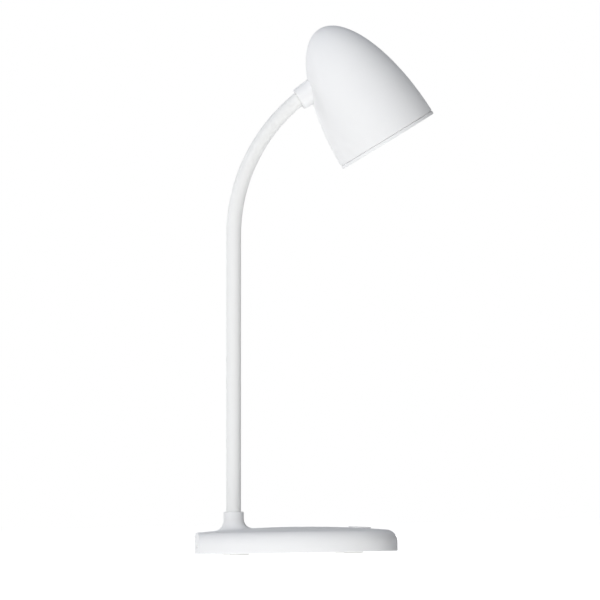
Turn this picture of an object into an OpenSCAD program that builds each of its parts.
// Desk lamp on a low oval base. A flexible neck carries a bell shaped shade, a push button sits
// in the top of the base, and a charging inlet is in the flat back of the base.
// All lengths are in millimetres. +X is forward, +Z is up, and the lamp is alike on both sides
// of the plane Y = 0. The origin is on the table, under the middle of the whole lamp's box.

/* [Base] */
// Half of the oval base's length, before its back is cut flat
base_half_length = 82.3; // [76:0.1:100]
// Half of the oval base's width
base_half_width = 65.5; // [62:0.1:80]
// Distance from the oval's centre to its flat back
base_back = 74.5; // [73:0.1:76]
// Height of the domed top above the lower rim
base_height = 20; // [19:0.1:26]
// Radius of the domed top
dome_radius = 820; // [600:10:1600]
// Radius of the rounded upper edge
edge_radius = 9.4; // [6:0.1:10]
// Thickness of the base cover's wall
base_wall = 2.2; // [1.8:0.1:2.6]
// Thickness of the bottom plate
plate_thickness = 2; // [1.8:0.1:3]
// How far the bottom plate is set up inside the rim
plate_recess = 0.5; // [0.3:0.1:1]
// Thickness of the steel weight
weight_thickness = 4; // [3:0.1:4.5]
// Distance from the base's outline in to the steel weight
weight_inset = 10; // [8:0.5:16]
// Distance from the oval's centre back to the weight's straight edge
weight_back = 32; // [20:1:34]

/* [Feet] */
// Radius of a rubber foot
foot_radius = 7.5; // [5:0.1:9]
// How far a foot stands below the rim
foot_drop = 1.3; // [0.8:0.1:3]
// Distance from the base's outline in to a foot's centre
foot_inset = 12; // [11:0.5:20]
// Angle from the long axis at which the feet are set
foot_angle = 51; // [48:1:60]

/* [Neck] */
// Distance from the oval's centre back to the neck
neck_back = 45.3; // [40:0.1:46]
// Outer radius of the neck's sleeve
neck_radius = 5.75; // [5.5:0.05:6]
// Outer radius of the wound steel core
core_radius = 4.3; // [4.1:0.05:4.5]
// Radius of the bore that holds the lead
neck_bore_radius = 2.2; // [1.6:0.05:2.5]
// Forward lean of the straight stretch, in degrees
neck_lean = 1; // [0:0.5:3]
// Length of the straight stretch
stem_length = 215.2; // [150:0.2:300]
// Radius of the curved stretch's centre line
bend_radius = 137; // [110:1:170]
// Angle that the curved stretch turns through
bend_angle = 51; // [40:1:56]
// How far the round end of a link stands out past the sleeve's radius
ball_over = 0.45; // [0.35:0.05:0.65]
// Gap between a link's round end and the hollow that it turns in
ball_gap = 0.12; // [0.1:0.01:0.2]

/* [Neck fittings] */
// Height of the base's neck boss above the rim
boss_top = 32.5; // [31:0.5:38]
// Outer radius of the neck boss
boss_radius = 7.9; // [7.6:0.1:9]
// Radius of the hollow flare from the boss into the dome
boss_flare = 7.5; // [4:0.5:9]
// Depth from the boss's top down to the ferrule's seat
base_seat_depth = 14; // [12:0.5:15]
// Depth from the collar's end to the ferrule's seat
head_seat_depth = 12; // [11:0.5:13]
// Thickness of the floor that the ferrule is bolted through
seat_floor = 4.5; // [4:0.1:5]
// Radius of the ferrule's thread
thread_radius = 4; // [3.6:0.1:4.5]
// Radius of the ferrule's flange
flange_radius = 5.6; // [5:0.1:5.7]
// Thickness of the ferrule's flange
flange_thickness = 1.5; // [1:0.1:2]
// Radius of a washer
washer_radius = 7; // [6:0.1:7.5]
// Thickness of a washer
washer_thickness = 1; // [0.8:0.1:1.2]
// Width of a nut across its flats
nut_across = 12; // [11:0.5:13]
// Thickness of a nut
nut_thickness = 3.6; // [3:0.1:4]
// Thread that shows past a nut
thread_past_nut = 0.6; // [0.4:0.1:1]

/* [Shade] */
// Radius of the shade's mouth
shade_radius = 41.6; // [38:0.1:50]
// Height of the shade from mouth to crown
shade_height = 103; // [90:1:125]
// Thickness of the shade's wall
shade_wall = 1.8; // [1.5:0.1:2.2]
// Tilt of the shade's axis back from upright, in degrees
shade_tilt = 30.7; // [20:0.1:40]
// Height of the neck collar above the mouth, along the shade's axis
collar_height = 64.5; // [60:0.5:70]
// Distance from the shade's axis out to the collar's end
collar_reach = 42.8; // [42:0.1:48]
// Radius of the collar at its end
collar_radius = 8.6; // [8.4:0.1:10]
// Flare of the collar towards the shade, in degrees
collar_flare = 5; // [0:0.5:8]

/* [Light unit] */
// How far the diffuser is set in from the mouth
diffuser_recess = 0.5; // [0.5:0.1:3]
// Thickness of the diffuser
diffuser_thickness = 2; // [1.5:0.1:3]
// Depth of the reflector behind the diffuser
reflector_depth = 14.2; // [10:0.1:20]
// Thickness of the reflector's wall
reflector_wall = 1.2; // [1:0.1:1.5]
// Radius of the light board
led_board_radius = 18; // [16:0.5:20]
// Thickness of the light board
led_board_thickness = 1.6; // [1:0.1:2]
// Number of light chips on the board
led_count = 12; // [6:1:14]
// Radius of the ring of light chips
led_ring_radius = 9.5; // [9:0.1:11]
// Length of a light chip
led_length = 3.5; // [3:0.1:3.5]
// Width of a light chip
led_width = 2.8; // [2:0.1:2.8]
// Thickness of a light chip
led_thickness = 0.7; // [0.5:0.1:1]
// Radius of the heat sink plate
sink_radius = 36.5; // [35:0.5:37.5]
// Thickness of the heat sink plate
sink_thickness = 2; // [1.5:0.1:3]
// Distance from the shade's axis to the posts that hold the heat sink
head_post_ring = 31; // [30:0.5:32]

/* [Button] */
// Distance from the oval's centre forward to the power button
button_forward = 53; // [50:0.5:55]
// Radius of the power button's cap
button_radius = 8.7; // [6:0.1:10]
// How far the cap stands above the dome
button_raise = 1; // [0.3:0.05:1.5]
// How far the button travels
button_travel = 0.8; // [0.4:0.1:0.8]
// Gap round the cap in its hole
button_gap = 0.25; // [0.15:0.05:0.4]
// Width of the flange that keeps the cap in its hole
button_flange = 1.5; // [1:0.1:2]
// Side of the square switch
switch_side = 6; // [5:0.1:7]
// Height of the switch's case
switch_height = 2.4; // [2:0.1:2.6]
// Radius of the switch's plunger
plunger_radius = 1.6; // [1.2:0.1:1.8]

/* [Power] */
// Length of the battery pack
battery_length = 54; // [40:1:56]
// Width of the battery pack
battery_width = 40; // [30:1:40]
// Thickness of the battery pack
battery_thickness = 5; // [4:0.1:5.5]
// Thickness of the insulating sheet on the weight
sheet_thickness = 0.5; // [0.3:0.1:0.8]
// Length of the charging board
charge_length = 16.5; // [14:0.5:17]
// Width of the charging board
charge_width = 30; // [28:1:32]
// Length of the switch board
switch_board_length = 26; // [24:1:26]
// Width of the switch board
switch_board_width = 22; // [18:1:26]
// Thickness of both boards
board_thickness = 1; // [0.8:0.1:1.2]
// Height of the posts under the charging board
board_post = 1; // [0.8:0.1:1.5]
// Thickness of the charging inlet's sheet metal
inlet_wall = 0.3; // [0.25:0.05:0.35]
// How far the inlet's mouth is set in from the back
inlet_recess = 0.4; // [0.2:0.1:0.8]
// Radius of the lead in the neck
lead_radius = 1.1; // [0.8:0.1:1.2]
// Radius of the leads in the base
board_lead_radius = 0.9; // [0.6:0.1:1]

/* [Screws] */
// Radius of a bottom plate screw's shank
screw_radius = 1.25; // [1:0.05:1.5]
// Radius of its head
screw_head_radius = 2.6; // [2.4:0.1:3]
// Thickness of its head
screw_head = 1.1; // [1:0.1:1.2]
// Length of its shank
screw_length = 9; // [6:0.5:10]
// Radius of a board screw's shank
small_screw_radius = 0.95; // [0.7:0.05:1]
// Radius of its head
small_head_radius = 1.9; // [1.6:0.1:2]
// Thickness of its head
small_head = 0.9; // [0.8:0.1:1.1]
// Radius of a screw post
post_radius = 4; // [3.5:0.1:4.5]
// Distance from the base's outline in to a screw post's centre
post_inset = 16; // [15:0.5:18]
// Angle from the long axis at which the posts are set
post_angle = 28; // [24:1:30]

/* [Hidden] */
$fn = 96;
fit_gap = 0.15;      // between a moulded part and what drops into it
shaft_gap = 0.05;    // round a screw or nut's thread in its hole
floor_gap = 0.1;     // round the ferrule's thread in a moulded floor
slack = 1;           // how far a cutting shape runs past what it cuts
tip_room = 1;        // room past a screw's tip in its hole
lead_bend = 4.4;     // radius of the lead's turn under the neck
head_lead_bend = 10; // radius of the lead's turn in the shade

// The charging inlet's shell is a standard size
inlet_width = 8.94;
inlet_height = 3.26;
inlet_depth = 7.35;

// The plunger stands out of its case a little further than the button travels
plunger_raise = button_travel + 0.1;

ball_radius = neck_radius + ball_over; // of the round end of a link
stem_links = 5;      // links in the straight stretch
bend_links = 4;      // links in the curved stretch
links = stem_links + bend_links;
stem_link = stem_length / stem_links;
bend_step = bend_angle / bend_links;
link_ids = [for (k = [1 : links]) k];

// Places in the base's own frame: the oval's centre, at the height of the lower rim
dome_centre = base_height - dome_radius;
function dome_height(x) = dome_centre + sqrt(dome_radius * dome_radius - x * x);
neck_start = [-neck_back, 0, boss_top];

// Lean of the neck at joint k, and that joint's place: the joints are counted from the base up
function lean_at(k) = neck_lean + max(0, k - 1 - stem_links) * bend_step;
function along(lean, forward, up) =
  [forward * cos(lean) + up * sin(lean), 0, up * cos(lean) - forward * sin(lean)];
function joint_at(k) = k <= stem_links + 1
  ? neck_start + along(neck_lean, 0, (k - 1) * stem_link)
  : joint_at(stem_links + 1)
    + along(neck_lean, bend_radius * (1 - cos((k - 1 - stem_links) * bend_step)),
            bend_radius * sin((k - 1 - stem_links) * bend_step));
neck_end = joint_at(links + 1);

// The shade's own frame has its origin at the middle of the mouth and +Z towards the crown
function head_point(forward, up) = along(-shade_tilt, forward, up);
mouth_centre = neck_end + head_point(collar_reach, -collar_height);
shade_inner_radius = shade_radius - shade_wall;
shade_inner_height = shade_height - shade_wall;
front_reach = mouth_centre[0] + shade_radius * cos(shade_tilt);
origin_forward = (front_reach - base_back) / 2;

// Heights in the base
plate_top = plate_recess + plate_thickness;
weight_top = plate_top + weight_thickness;
sheet_top = weight_top + sheet_thickness;
switch_floor = sheet_top + board_thickness;
switch_top = switch_floor + switch_height;
plunger_top = switch_top + plunger_raise;
charge_floor = plate_top + board_post;
charge_top = charge_floor + board_thickness;
inlet_middle = charge_top + inlet_height / 2;
inner_back = base_back - base_wall;
charge_back = inner_back - fit_gap;
charge_front = charge_back - charge_length;

// The button's frame stands square on the dome
button_lean = asin(button_forward / dome_radius);
button_skirt = 3.4;      // depth of the cap's lower edge below the dome
button_flange_top = 2.5; // depth of the flange's upper face below the dome
button_flange_depth = button_skirt - button_flange_top;
button_top_wall = 1.6;
button_wall = 1.5;       // of the cap's skirt
stem_radius = 1.5;       // of the button's stem
stem_rest_gap = 0.12;    // between the button's stem and the plunger
stem_depth = (dome_height(button_forward) - plunger_top) / cos(button_lean) - stem_rest_gap;

// Heights in the shade, from the mouth
diffuser_back = diffuser_recess + diffuser_thickness;
sink_face = diffuser_back + reflector_depth;
sink_back = sink_face + sink_thickness;
led_face = sink_face - led_board_thickness;
diffuser_radius = shade_inner_radius - fit_gap - 0.1;
reflector_rim = 1.2;
reflector_mouth = diffuser_radius - 2;
led_gap = 0.6;
led_screw_ring = 15;
sink_lead_hole = 2;

// Screw lengths past the head
head_screw_length = 7; // past the heat sink
small_screw_length = 3.4;
led_screw_length = 3.2;
tip_gap = 0.2;          // below a switch board screw's tip, in the weight

thread_reach = seat_floor + washer_thickness + nut_thickness + thread_past_nut;

// ---- frames -------------------------------------------------------------------------------

module on_table() {
  translate([-origin_forward, 0, foot_drop]) children();
}

module at_joint(k) {
  on_table() translate(joint_at(k)) rotate([0, lean_at(k), 0]) children();
}

// The collar's frame: origin at the neck's end, -Z into the shade
module at_collar() {
  on_table() translate(neck_end) rotate([0, 270 - shade_tilt, 0]) children();
}

module in_head() {
  on_table() translate(mouth_centre) rotate([0, -shade_tilt, 0]) children();
}

module on_button() {
  on_table() translate([0, 0, dome_centre]) rotate([0, button_lean, 0])
    translate([0, 0, dome_radius]) children();
}

// ---- shared shapes ------------------------------------------------------------------------

// The base's outline, moved in by inset and cut flat at the back
module outline(inset, back = base_back) {
  intersection() {
    scale([base_half_length - inset, base_half_width - inset]) circle(1);
    translate([-min(back, base_back - inset), -base_half_width])
      square([2 * base_half_length + back, 2 * base_half_width]);
  }
}

// The four places at an angle from the long axis, moved in from the outline by inset. The rear
// two keep clear of the flat back's wall.
back_room = base_wall + foot_radius + fit_gap;
module at_corners(inset, angle, sides = [-1, 1]) {
  forward = (base_half_length - inset) * cos(angle);
  for (x = sides, y = [-1, 1])
    translate([max(x * forward, back_room - base_back),
               y * (base_half_width - inset) * sin(angle)]) children();
}

// A domed body with a rounded upper edge: the edge's arc touches both the wall and the dome
module domed_body(inset, below = 0) {
  r = base_half_length - inset;
  edge = edge_radius - inset;
  dome = dome_radius - inset;
  edge_in = r - edge;
  edge_up = dome_centre + sqrt(pow(dome - edge, 2) - pow(edge_in, 2));
  meet = atan2(edge_up - dome_centre, edge_in);
  edge_steps = 12;
  dome_steps = 8;
  section = concat(
    [[0, -below], [r, -below]],
    [for (i = [0 : edge_steps]) let (a = meet * i / edge_steps)
      [edge_in + edge * cos(a), edge_up + edge * sin(a)]],
    [for (i = [1 : dome_steps]) let (a = meet + (90 - meet) * i / dome_steps)
      [dome * cos(a), dome_centre + dome * sin(a)]]);
  scale([1, (base_half_width - inset) / r, 1]) rotate_extrude() polygon(section);
}

module rounded_rect(length, width, corner) {
  square([length - 2 * corner, width], center = true);
  square([length, width - 2 * corner], center = true);
  for (x = [-1, 1], y = [-1, 1])
    translate([x * (length / 2 - corner), y * (width / 2 - corner)]) circle(corner);
}

module pill(width, height) {
  square([width - height, height], center = true);
  for (x = [-1, 1]) translate([x * (width - height) / 2, 0]) circle(height / 2);
}

// A screw with its head under the origin and its shank upwards
module screw(radius, length, head_radius, head) {
  translate([0, 0, -head]) cylinder(r = head_radius, h = head);
  cylinder(r = radius, h = length);
}

module washer() {
  difference() {
    cylinder(r = washer_radius, h = washer_thickness);
    translate([0, 0, -slack]) cylinder(r = thread_radius + shaft_gap, h = washer_thickness + 2 * slack);
  }
}

module nut() {
  difference() {
    cylinder(d = nut_across / cos(30), h = nut_thickness, $fn = 6);
    translate([0, 0, -slack]) cylinder(r = thread_radius + shaft_gap, h = nut_thickness + 2 * slack);
  }
}

// ---- neck ---------------------------------------------------------------------------------

// A straight link: its lower end is hollowed to turn on the link below, its upper end is round
module straight_tube(outer, inner) {
  rotate_extrude() difference() {
    intersection() {
      translate([inner, 0]) square([outer - inner, stem_link + ball_radius]);
      union() {
        square([outer, stem_link]);
        translate([0, stem_link]) circle(ball_radius);
      }
    }
    circle(ball_radius + ball_gap);
  }
}

// A rod along the curved stretch, from angle from to angle to
module bent_rod(radius, from, to) {
  translate([bend_radius, 0, 0]) rotate([0, from, 0]) rotate([90, 0, 180])
    rotate_extrude(angle = to - from, $fn = 360) translate([bend_radius, 0]) circle(radius, $fn = 48);
}

// A curved link, with the same two ends as a straight one
module bent_tube(outer, inner) {
  ball_turn = 3; // degrees of the curve that the round end takes up
  difference() {
    bent_rod(outer, 0, bend_step + ball_turn);
    sphere(ball_radius + ball_gap);
    translate([bend_radius, 0, 0]) rotate([0, bend_step, 0]) translate([-bend_radius, 0, 0])
      difference() {
        translate([-2 * outer, -2 * outer, 0]) cube([4 * outer, 4 * outer, 4 * ball_radius]);
        sphere(ball_radius);
      }
    bent_rod(inner, -slack, bend_step + ball_turn + slack);
  }
}

module neck_sleeve(k) {
  color("whitesmoke") at_joint(k) {
    if (k <= stem_links) straight_tube(neck_radius, core_radius + fit_gap);
    else bent_tube(neck_radius, core_radius + fit_gap);
  }
}

module neck_core(k) {
  color("gray") at_joint(k) {
    if (k <= stem_links) straight_tube(core_radius, neck_bore_radius);
    else bent_tube(core_radius, neck_bore_radius);
  }
}

// Half section of the neck's fixed end: y is 0 at the joint and falls into the housing
module stub_section(outer, inner, from, hollow) {
  if (hollow) difference() {
    translate([inner, -from]) square([outer - inner, from]);
    circle(ball_radius + ball_gap);
  }
  else intersection() {
    translate([inner, -from]) square([outer - inner, from + ball_radius]);
    union() {
      translate([0, -from]) square([outer, from]);
      circle(ball_radius);
    }
  }
}

module ferrule(depth, hollow) {
  rotate_extrude() {
    stub_section(core_radius, neck_bore_radius, depth, hollow);
    translate([neck_bore_radius, -depth])
      square([flange_radius - neck_bore_radius, flange_thickness]);
    translate([neck_bore_radius, -depth - thread_reach])
      square([thread_radius - neck_bore_radius, thread_reach]);
  }
}

module sleeve_stub(depth, hollow) {
  rotate_extrude()
    stub_section(neck_radius, core_radius + fit_gap, depth - flange_thickness, hollow);
}

module at_neck_start() {
  on_table() translate(neck_start) children();
}

module lower_ferrule() {
  color("silver") at_neck_start() ferrule(base_seat_depth, false);
}

module sleeve_base() {
  color("whitesmoke") at_neck_start() sleeve_stub(base_seat_depth, false);
}

module lower_washer() {
  color("silver") at_neck_start()
    translate([0, 0, -base_seat_depth - seat_floor - washer_thickness]) washer();
}

module lower_nut() {
  color("goldenrod") at_neck_start()
    translate([0, 0, -base_seat_depth - seat_floor - washer_thickness - nut_thickness]) nut();
}

module upper_ferrule() {
  color("silver") at_collar() ferrule(head_seat_depth, true);
}

module sleeve_head() {
  color("whitesmoke") at_collar() sleeve_stub(head_seat_depth, true);
}

module upper_washer() {
  color("silver") at_collar()
    translate([0, 0, -head_seat_depth - seat_floor - washer_thickness]) washer();
}

module upper_nut() {
  color("goldenrod") at_collar()
    translate([0, 0, -head_seat_depth - seat_floor - washer_thickness - nut_thickness]) nut();
}

// ---- leads --------------------------------------------------------------------------------

// A lead's route is a list of [straight length, turn in degrees, radius of the turn]. It starts at
// a point with a heading, turns to the left where the turn is positive, and is held in one plane.
lead_pitch = 6; // longest distance between two rings of a lead
function heading_after(route, start, i) = i == 0 ? start
  : heading_after(route, start, i - 1) + route[i - 1][1];
function turn_offset(heading, turn, r) = let (s = sign(turn))
  s * r * [sin(heading + turn) - sin(heading), cos(heading) - cos(heading + turn)];
function point_after(route, start, from, i) = i == 0 ? from :
  let (h = heading_after(route, start, i - 1), leg = route[i - 1])
  point_after(route, start, from, i - 1) + leg[0] * [cos(h), sin(h)]
  + turn_offset(h, leg[1], leg[2]);
// Each station is [place, heading]
function leg_stations(p, h, leg) =
  let (straight = max(1, ceil(leg[0] / (3 * lead_pitch))),
       arc = leg[1] == 0 ? 0 : max(2, ceil(abs(leg[1]) * PI / 180 * leg[2] / lead_pitch)),
       q = p + leg[0] * [cos(h), sin(h)])
  concat([for (j = [1 : straight]) [p + leg[0] * j / straight * [cos(h), sin(h)], h]],
         arc == 0 ? [] : [for (j = [1 : arc])
           [q + turn_offset(h, leg[1] * j / arc, leg[2]), h + leg[1] * j / arc]]);
function stations(route, start, from) = concat([[from, start]],
  [for (i = [0 : len(route) - 1])
    each leg_stations(point_after(route, start, from, i), heading_after(route, start, i), route[i])]);

// Sweeps a ring of sides along the stations, in the plane X and Y
module swept_lead(list, radius, sides = 8) {
  n = len(list);
  points = [for (s = list, j = [0 : sides - 1])
    let (a = 360 * j / sides, out = radius * cos(a))
    [s[0][0] - out * sin(s[1]), s[0][1] + out * cos(s[1]), radius * sin(a)]];
  walls = [for (i = [0 : n - 2], j = [0 : sides - 1]) let (k = (j + 1) % sides) each [
    [i * sides + j, i * sides + k, (i + 1) * sides + j],
    [i * sides + k, (i + 1) * sides + k, (i + 1) * sides + j]]];
  ends = [for (j = [1 : sides - 2]) each [
    [0, j + 1, j],
    [(n - 1) * sides, (n - 1) * sides + j, (n - 1) * sides + j + 1]]];
  polyhedron(points, concat(walls, ends));
}

// From the charging board's edge, up the neck's bore and into the shade to the light board
lead_lift = 0.3;   // of a lead above the plate that it lies on
lead_height = plate_top + lead_radius + lead_lift;
lead_start = [-charge_front + fit_gap, lead_height];
lead_past_nut = 0.4; // straight lead past the ferrule, before its turn
head_lead_run = collar_height - head_lead_bend - sink_face;
neck_route = [
  [-neck_back - lead_bend - lead_start[0], 90, lead_bend],
  [boss_top - lead_height - lead_bend - 0.1, -neck_lean, lead_bend],
  [stem_length, -bend_angle, bend_radius],
  [0, -(90 - neck_lean - bend_angle - shade_tilt), lead_bend],
  [head_seat_depth + thread_reach + lead_past_nut, -90, head_lead_bend],
  [head_lead_run, 0, 0]];

module neck_lead() {
  color("dimgray") on_table() rotate([90, 0, 0])
    swept_lead(stations(neck_route, 0, lead_start), lead_radius);
}

// From the charging board's connector, round the battery and to the switch board
board_lead_height = sheet_top + board_lead_radius + 0.1;
connector = [4, 5, 4.4];       // length, width and height of a board connector
connector_side = 9.5;          // distance of a connector from the middle plane
board_route = [
  [10, 60, 5], [8.1, -60, 5], [58, -60, 6], [6.4, 60, 6], [1, 0, 0]];

module board_lead() {
  color("firebrick") on_table() translate([0, 0, board_lead_height])
    swept_lead(stations(board_route, 0, [-charge_front + fit_gap, connector_side]),
               board_lead_radius);
}

// ---- base ---------------------------------------------------------------------------------

module base_body() {
  intersection() {
    domed_body(0);
    translate([-base_back, -base_half_width - slack, -slack])
      cube([2 * base_half_length, 2 * base_half_width + 2 * slack, 2 * base_height]);
  }
}

// The hollow of the base, round the posts for the bottom plate's screws
module base_cavity() {
  difference() {
    intersection() {
      domed_body(base_wall, slack);
      translate([-inner_back, -base_half_width, -slack])
        cube([2 * base_half_length, 2 * base_half_width, 2 * base_height]);
    }
    translate([0, 0, plate_top]) at_corners(post_inset, post_angle)
      cylinder(r = post_radius, h = base_height);
  }
}

module base_cover() {
  color("white") difference() {
    on_table() difference() {
      base_body();
      base_cavity();
      translate([-neck_back, 0, 0]) cylinder(r = boss_foot, h = boss_top);
      translate([0, 0, plate_top]) at_corners(post_inset, post_angle)
        translate([0, 0, -slack]) cylinder(r = screw_radius + shaft_gap, h = screw_length + slack);
      translate([-base_back - slack, 0, inlet_middle]) rotate([90, 0, 90])
        linear_extrude(base_wall + 2 * slack)
          pill(inlet_width + 2 * fit_gap, inlet_height + 2 * fit_gap);
    }
    on_button() translate([0, 0, -base_height / 2])
      cylinder(r = button_radius + button_gap, h = base_height);
  }
}

// The boss and its hollow flare, with the round piece of the dome that they stand on
boss_foot = boss_radius + boss_flare;
module boss_outside() {
  sunk = 0.6; // how far the flare's edge is let into the dome
  foot = dome_height(neck_back) - sunk;
  translate([-neck_back, 0, 0]) rotate_extrude() {
    translate([0, foot - base_wall / 2]) square([boss_radius, boss_top - foot + base_wall / 2]);
    difference() {
      translate([0, foot - base_wall / 2])
        square([boss_foot, boss_flare + base_wall / 2]);
      translate([boss_foot, foot + boss_flare]) circle(boss_flare);
    }
  }
}

module neck_boss() {
  seat = boss_top - base_seat_depth;
  color("white") on_table() difference() {
    intersection() {
      union() {
        base_body();
        boss_outside();
      }
      translate([-neck_back, 0, 0]) cylinder(r = boss_foot - shaft_gap, h = boss_top + slack);
    }
    difference() {
      base_cavity();
      translate([-neck_back, 0, seat - seat_floor])
        cylinder(r = washer_radius + slack, h = base_height);
    }
    translate([-neck_back, 0, seat])
      cylinder(r = neck_radius + fit_gap, h = base_seat_depth + slack);
    translate([-neck_back, 0, 0]) cylinder(r = thread_radius + floor_gap, h = boss_top);
  }
}

board_post_radius = small_head_radius + 0.4;
blind_floor = 0.6; // what is left of the plate under a board screw's hole
module base_plate() {
  color("gainsboro") on_table() difference() {
    union() {
      translate([0, 0, plate_recess]) linear_extrude(plate_thickness)
        outline(base_wall + fit_gap);
      for (y = [-1, 1]) translate([-charge_screw_back, y * charge_screw_side, plate_recess])
        cylinder(r = board_post_radius, h = charge_floor - plate_recess);
    }
    at_corners(post_inset, post_angle) {
      cylinder(r = screw_radius + shaft_gap, h = plate_top + slack);
      cylinder(r = screw_head_radius + fit_gap, h = plate_recess + screw_head + fit_gap);
    }
    for (y = [-1, 1]) translate([-charge_screw_back, y * charge_screw_side, plate_recess + blind_floor])
      cylinder(r = small_screw_radius + shaft_gap, h = charge_floor);
  }
}

module base_screws() {
  color("silver") on_table() at_corners(post_inset, post_angle)
    translate([0, 0, plate_recess + screw_head + fit_gap])
      screw(screw_radius, screw_length - tip_room, screw_head_radius, screw_head);
}

module feet() {
  color("whitesmoke") on_table() at_corners(foot_inset, foot_angle) translate([0, 0, -foot_drop])
    cylinder(r = foot_radius, h = foot_drop + plate_recess);
}

module counterweight() {
  color("slategray") on_table() difference() {
    translate([0, 0, plate_top]) linear_extrude(weight_thickness) outline(weight_inset, weight_back);
    at_corners(post_inset, post_angle) cylinder(r = post_radius + 2 * fit_gap, h = base_height);
    switch_board_screws() translate([0, 0, -small_screw_length - tip_gap])
      cylinder(r = small_screw_radius + shaft_gap, h = base_height);
  }
}

module insulating_sheet() {
  color("lightyellow") on_table() difference() {
    translate([0, 0, weight_top]) linear_extrude(sheet_thickness)
      outline(weight_inset + 2, weight_back - 2);
    at_corners(post_inset, post_angle) cylinder(r = post_radius + 2 * fit_gap, h = base_height);
    switch_board_screws() translate([0, 0, -base_height / 2])
      cylinder(r = small_screw_radius + shaft_gap, h = base_height);
  }
}

battery_middle = 0; // the pack's centre, forward of the oval's
module battery_pack() {
  color("steelblue") on_table() translate([battery_middle, 0, sheet_top])
    linear_extrude(battery_thickness) rounded_rect(battery_length, battery_width, 2);
}

module battery_lead() {
  color("crimson") on_table()
    translate([-charge_front + fit_gap, -connector_side, board_lead_height]) rotate([0, 90, 0])
      cylinder(r = board_lead_radius,
               h = charge_front - fit_gap + battery_middle - battery_length / 2);
}

charge_screw_back = charge_back - 4;
charge_screw_side = charge_width / 2 - 3;
module charge_board() {
  color("darkgreen") on_table() difference() {
    translate([-charge_back, -charge_width / 2, charge_floor])
      cube([charge_length, charge_width, board_thickness]);
    for (y = [-1, 1]) translate([-charge_screw_back, y * charge_screw_side, 0])
      cylinder(r = small_screw_radius + shaft_gap, h = base_height);
  }
}

// Two lead connectors, a coil and two chips
module charge_parts() {
  coil_radius = 2.4;
  coil_height = 2.6;
  chip = [3.4, 2.4, 1];
  color("darkslategray") on_table() translate([-charge_front, 0, charge_top]) {
    for (y = [-1, 1]) translate([-connector[0], y * connector_side - connector[1] / 2, 0])
      cube(connector);
    translate([-coil_radius - tip_room, 0, 0]) cylinder(r = coil_radius, h = coil_height);
    for (y = [-1, 1]) translate([-9, y * 6.6 - chip[1] / 2, 0]) cube(chip);
  }
}

module usb_shell() {
  color("silver") on_table() translate([-base_back + inlet_recess, 0, inlet_middle])
    rotate([90, 0, 90]) difference() {
      linear_extrude(inlet_depth) pill(inlet_width, inlet_height);
      translate([0, 0, -slack]) linear_extrude(inlet_depth + slack - inlet_wall)
        pill(inlet_width - 2 * inlet_wall, inlet_height - 2 * inlet_wall);
    }
}

module usb_tongue() {
  tongue = [4.9, 6.7, 0.7];
  color("black") on_table()
    translate([-base_back + inlet_recess + inlet_depth - inlet_wall - tongue[0],
               -tongue[1] / 2, inlet_middle - tongue[2] / 2]) cube(tongue);
}

// Two screw places on the switch board's long middle line, at its upper face
module switch_board_screws() {
  for (x = [-1, 1])
    translate([button_forward + x * (switch_board_length / 2 - 3), 0, switch_floor]) children();
}

module switch_board() {
  color("darkgreen") on_table() difference() {
    translate([button_forward - switch_board_length / 2, -switch_board_width / 2, sheet_top])
      cube([switch_board_length, switch_board_width, board_thickness]);
    switch_board_screws() translate([0, 0, -base_height / 2])
      cylinder(r = small_screw_radius + shaft_gap, h = base_height);
  }
}

module board_screws() {
  color("silver") on_table() {
    switch_board_screws() mirror([0, 0, 1])
      screw(small_screw_radius, small_screw_length, small_head_radius, small_head);
    for (y = [-1, 1]) translate([-charge_screw_back, y * charge_screw_side, charge_top])
      mirror([0, 0, 1])
        screw(small_screw_radius, small_screw_length - tip_room, small_head_radius, small_head);
  }
}

// The switch stands where the button's line meets it
switch_forward = button_forward - (dome_height(button_forward) - plunger_top) * tan(button_lean);
module switch_case() {
  color("dimgray") on_table() translate([switch_forward, 0, switch_floor]) difference() {
    translate([-switch_side / 2, -switch_side / 2, 0])
      cube([switch_side, switch_side, switch_height]);
    translate([0, 0, 0.5]) cylinder(r = plunger_radius + fit_gap, h = switch_height);
  }
}

module switch_plunger() {
  color("goldenrod") on_table() translate([switch_forward, 0, switch_top - 1])
    cylinder(r = plunger_radius, h = 1 + plunger_raise);
}

module power_button() {
  color("white") on_button() {
    difference() {
      union() {
        translate([0, 0, -button_skirt])
          cylinder(r = button_radius, h = button_skirt + button_raise);
        translate([0, 0, -button_skirt])
          cylinder(r = button_radius + button_flange, h = button_flange_depth);
      }
      translate([0, 0, -button_skirt - slack])
        cylinder(r = button_radius - button_wall,
                 h = button_skirt + slack + button_raise - button_top_wall);
    }
    translate([0, 0, -stem_depth]) cylinder(r = stem_radius, h = stem_depth);
  }
}

// ---- head ---------------------------------------------------------------------------------

// The upper half of an ellipsoid of revolution
module half_egg(radius, height, below = 0) {
  intersection() {
    scale([radius, radius, height]) sphere(1);
    translate([-2 * radius, -2 * radius, -below])
      cube([4 * radius, 4 * radius, height + below + slack]);
  }
}

// Children stand on the collar's axis, in the shade's frame, at the collar's end and facing in
module along_collar() {
  translate([-collar_reach, 0, collar_height]) rotate([0, 90, 0]) children();
}

module head_posts() {
  for (a = [0, 120, 240]) rotate([0, 0, a]) translate([head_post_ring, 0, 0]) children();
}

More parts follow.
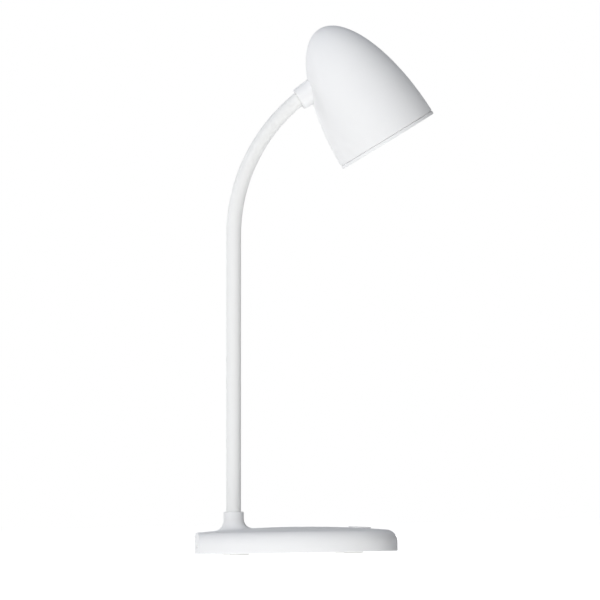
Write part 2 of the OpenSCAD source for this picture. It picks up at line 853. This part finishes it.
module shade() {
  collar_length = head_seat_depth + 2;
  ball_room = 3; // depth of the wider mouth that the last ball turns in
  color("white") in_head() difference() {
    union() {
      half_egg(shade_radius, shade_height);
      along_collar() cylinder(r1 = collar_radius,
        r2 = collar_radius + collar_length * tan(collar_flare), h = collar_length);
    }
    difference() {
      half_egg(shade_inner_radius, shade_inner_height, slack);
      along_collar() cylinder(r = washer_radius + 2, h = head_seat_depth + seat_floor);
      head_posts() translate([0, 0, sink_back]) cylinder(r = post_radius - 1, h = shade_height);
    }
    along_collar() {
      translate([0, 0, -slack]) cylinder(r = ball_radius + 2 * ball_gap, h = slack + ball_room);
      cylinder(r = neck_radius + fit_gap, h = head_seat_depth);
      cylinder(r = thread_radius + floor_gap, h = head_seat_depth + seat_floor + slack);
    }
    head_posts() cylinder(r = screw_radius + shaft_gap, h = sink_back + head_screw_length + tip_room);
  }
}

module heat_sink() {
  color("lightsteelblue") in_head() difference() {
    translate([0, 0, sink_face]) cylinder(r = sink_radius, h = sink_thickness);
    head_posts() cylinder(r = screw_radius + shaft_gap, h = shade_height);
    led_screw_places() cylinder(r = small_screw_radius + shaft_gap, h = shade_height);
    translate([head_lead_place, 0, 0]) cylinder(r = sink_lead_hole, h = shade_height);
  }
}

module head_screws() {
  color("silver") in_head() head_posts() translate([0, 0, sink_face])
    screw(screw_radius, sink_thickness + head_screw_length, screw_head_radius, screw_head);
}

// Where the lead comes down beside the shade's axis
head_lead_place = -collar_reach + head_seat_depth + thread_reach + lead_past_nut + head_lead_bend;

module led_screw_places() {
  for (a = [90, 270]) rotate([0, 0, a]) translate([led_screw_ring, 0, 0]) children();
}

module led_board() {
  color("snow") in_head() difference() {
    translate([0, 0, led_face]) cylinder(r = led_board_radius, h = led_board_thickness);
    led_screw_places() cylinder(r = small_screw_radius + shaft_gap, h = shade_height);
  }
}

module led_chips() {
  color("khaki") in_head() for (i = [0 : led_count - 1])
    rotate([0, 0, 360 * i / led_count])
      translate([led_ring_radius - led_width / 2, -led_length / 2, led_face - led_thickness])
        cube([led_width, led_length, led_thickness]);
}

module led_screws() {
  color("silver") in_head() led_screw_places() translate([0, 0, led_face])
    screw(small_screw_radius, led_screw_length, small_head_radius, small_head);
}

module reflector() {
  inner = led_board_radius + led_gap;
  color("ghostwhite") in_head() rotate_extrude() polygon([
    [inner, sink_face],
    [inner + 1.8 * reflector_wall, sink_face],
    [reflector_mouth + reflector_wall / 2, diffuser_back + 2 * reflector_wall],
    [diffuser_radius, diffuser_back + 2 * reflector_wall],
    [diffuser_radius, diffuser_back],
    [reflector_mouth, diffuser_back],
    [reflector_mouth, diffuser_back + reflector_rim]]);
}

module diffuser() {
  color("ivory") in_head() translate([0, 0, diffuser_recess])
    cylinder(r = diffuser_radius, h = diffuser_thickness);
}

// ---- the whole lamp -----------------------------------------------------------------------

base_cover();
neck_boss();
base_plate();
feet();
base_screws();
counterweight();
insulating_sheet();
battery_pack();
battery_lead();
charge_board();
charge_parts();
usb_shell();
usb_tongue();
switch_board();
switch_case();
switch_plunger();
board_screws();
board_lead();
power_button();
lower_ferrule();
lower_washer();
lower_nut();
sleeve_base();
neck_lead();
sleeve_head();
upper_ferrule();
upper_washer();
upper_nut();
shade();
heat_sink();
head_screws();
led_board();
led_chips();
led_screws();
reflector();
diffuser();
for (k = link_ids) {
  neck_sleeve(k);
  neck_core(k);
}
